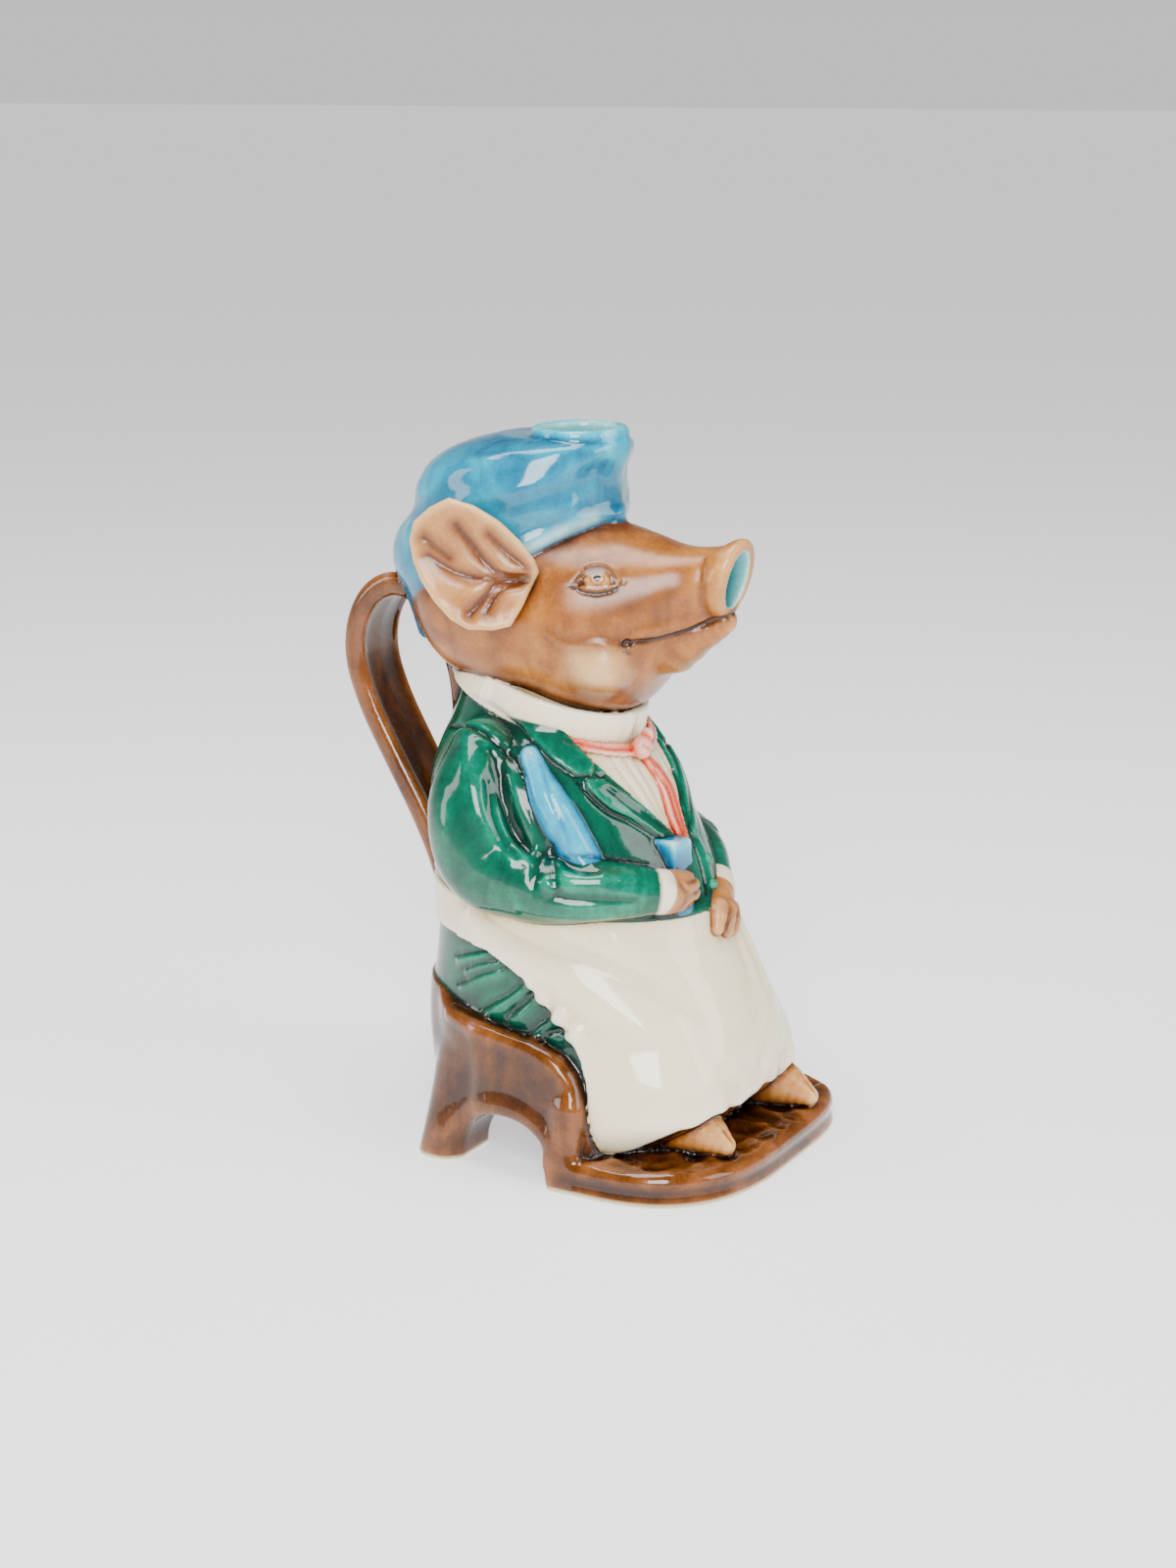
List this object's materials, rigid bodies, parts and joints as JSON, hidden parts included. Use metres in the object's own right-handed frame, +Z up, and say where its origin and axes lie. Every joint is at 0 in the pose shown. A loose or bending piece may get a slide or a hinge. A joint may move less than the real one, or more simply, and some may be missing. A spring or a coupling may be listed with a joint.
{
  "type": "figural pitcher",
  "caption": "Glazed earthenware pitcher shaped as a seated pig in cap, jacket and apron; filled through the cap, poured through the snout.",
  "frame": {"origin": "middle of the bounding box's underside, on the surface the pitcher stands on", "axes": "+Z up; the pig faces -Y; its right side, with the gripped bottle, is -X; the handle is at +Y"},
  "size_m": [0.1196, 0.1748, 0.2517],
  "materials": {
    "glazed_earthenware": "gloss"
  },
  "bodies": {
    "root": {"pig_pitcher": "glazed_earthenware"}
  },
  "joints": []
}
